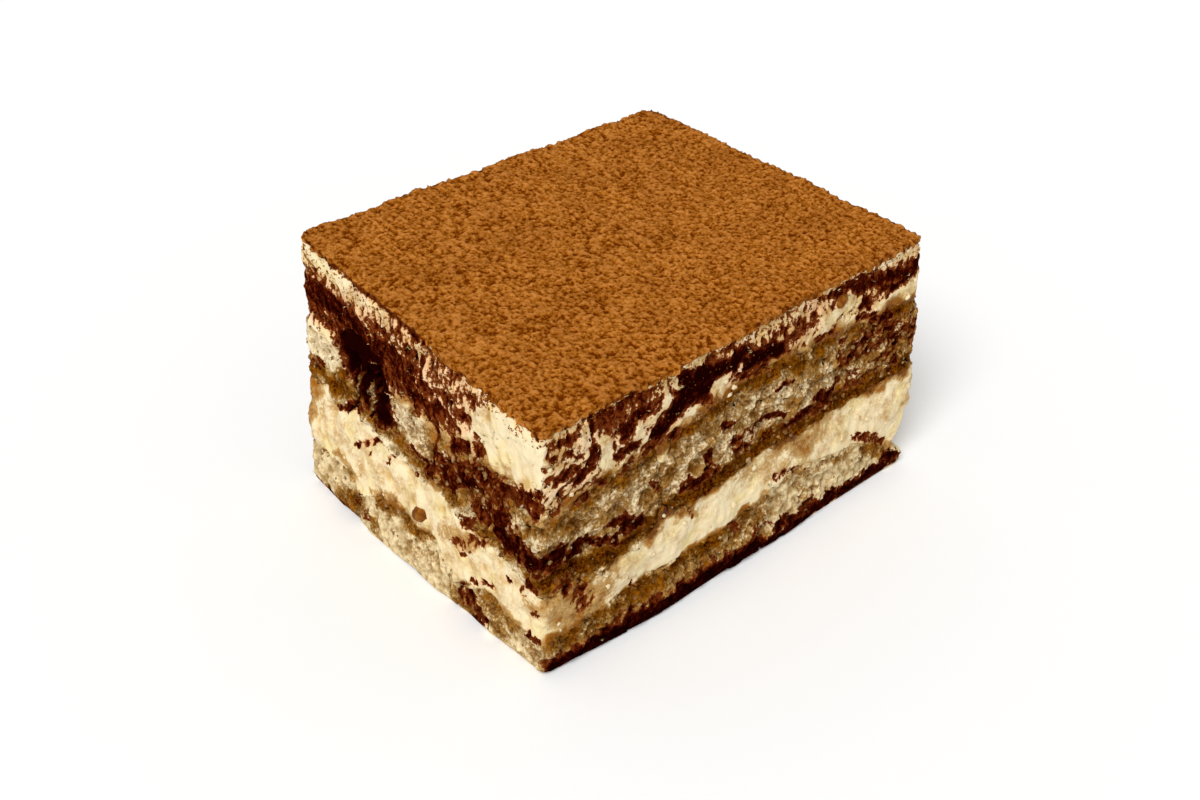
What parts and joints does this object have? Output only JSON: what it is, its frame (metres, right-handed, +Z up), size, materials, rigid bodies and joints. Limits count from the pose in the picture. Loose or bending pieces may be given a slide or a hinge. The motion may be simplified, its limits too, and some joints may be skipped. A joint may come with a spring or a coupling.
{
  "type": "tiramisu",
  "caption": "Cut slice of tiramisu that stands on its flat base: cocoa-dusted cream, soaked sponge biscuits, smooth cream and a lower row of biscuits, shown at all cut sides.",
  "frame": {"origin": "middle of the flat base", "axes": "+X along the right-hand cut face away from the front edge, +Y along the left-hand cut face towards the back, +Z up"},
  "size_m": [0.0904, 0.0714, 0.052],
  "materials": {
    "cocoa": "dry cocoa powder, fine grains, fully matte; matte plastic stands in for food",
    "cream": "smooth ivory cream with cocoa-stained smears, soft sheen; matte plastic stands in for food",
    "soaked_biscuit": "open sponge crumb soaked dark with coffee at its edges, damp and matte; matte plastic stands in for food",
    "pale_biscuit": "open pale sponge crumb with a soaked brown base, matte; matte plastic stands in for food"
  },
  "bodies": {
    "root": {"cocoa_dusting": "cocoa", "top_cream": "cream", "middle_cream": "cream", "upper_biscuit_back": "soaked_biscuit", "upper_biscuit_middle": "soaked_biscuit", "upper_biscuit_front_left": "soaked_biscuit", "upper_biscuit_front_right": "soaked_biscuit", "lower_biscuit_back": "pale_biscuit", "lower_biscuit_middle": "pale_biscuit", "lower_biscuit_front_left": "pale_biscuit", "lower_biscuit_front_right": "pale_biscuit"}
  },
  "joints": []
}
